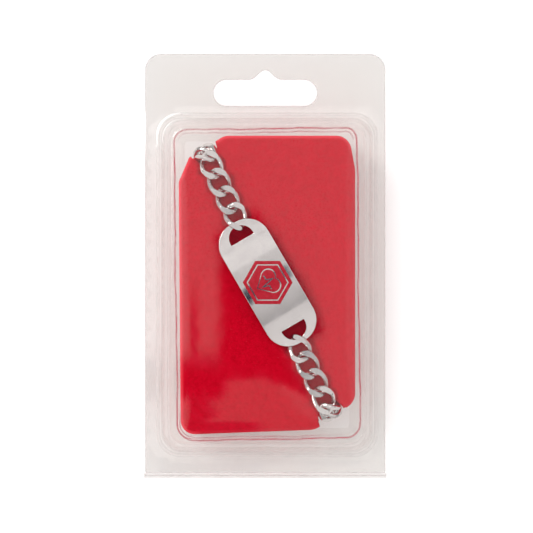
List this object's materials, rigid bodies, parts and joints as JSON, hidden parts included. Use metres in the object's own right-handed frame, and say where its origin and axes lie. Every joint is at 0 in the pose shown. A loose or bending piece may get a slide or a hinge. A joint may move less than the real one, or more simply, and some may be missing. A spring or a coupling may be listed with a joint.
{
  "type": "medical alert bracelet on a pad in a clear hinged hanging pack",
  "caption": "Steel curb-chain bracelet with a long curved identification plate and an enamelled hexagon badge, wrapped round a soft pad in a clear hinged hanging pack.",
  "frame": {"origin": "under the middle of the pack, at the level of its back face, which it lies on", "axes": "+Z from the back face to the front face, +Y to the hanging end, +X to the right as seen from the front"},
  "size_m": [0.0726, 0.1272, 0.0187],
  "materials": {
    "steel": "polished",
    "enamel": "gloss",
    "foam": "matt, fine grain",
    "clear_sheet": "clear, thin, gloss"
  },
  "bodies": {
    "pack": {"back_shell": "clear_sheet", "pad": "foam", "id_plate": "steel", "badge_ring": "enamel", "badge_field": "enamel", "badge_heart": "enamel", "clasp": "steel", "link_01": "steel", "link_02": "steel", "link_03": "steel", "link_04": "steel", "link_05": "steel", "link_06": "steel", "link_07": "steel", "link_08": "steel", "link_09": "steel", "link_10": "steel", "link_11": "steel", "link_12": "steel", "link_13": "steel", "link_14": "steel", "link_15": "steel", "link_16": "steel", "link_17": "steel", "link_18": "steel", "link_19": "steel", "link_20": "steel", "link_21": "steel", "link_22": "steel", "link_23": "steel", "link_24": "steel"},
    "lid": {"front_shell": "clear_sheet"}
  },
  "joints": [
    {"name": "lid_hinge", "type": "hinge", "parent": "pack", "child": "lid", "pos_m": [0, -0.06285, 0.00575], "axis": [1, 0, 0], "range_deg": [0, 145]}
  ]
}
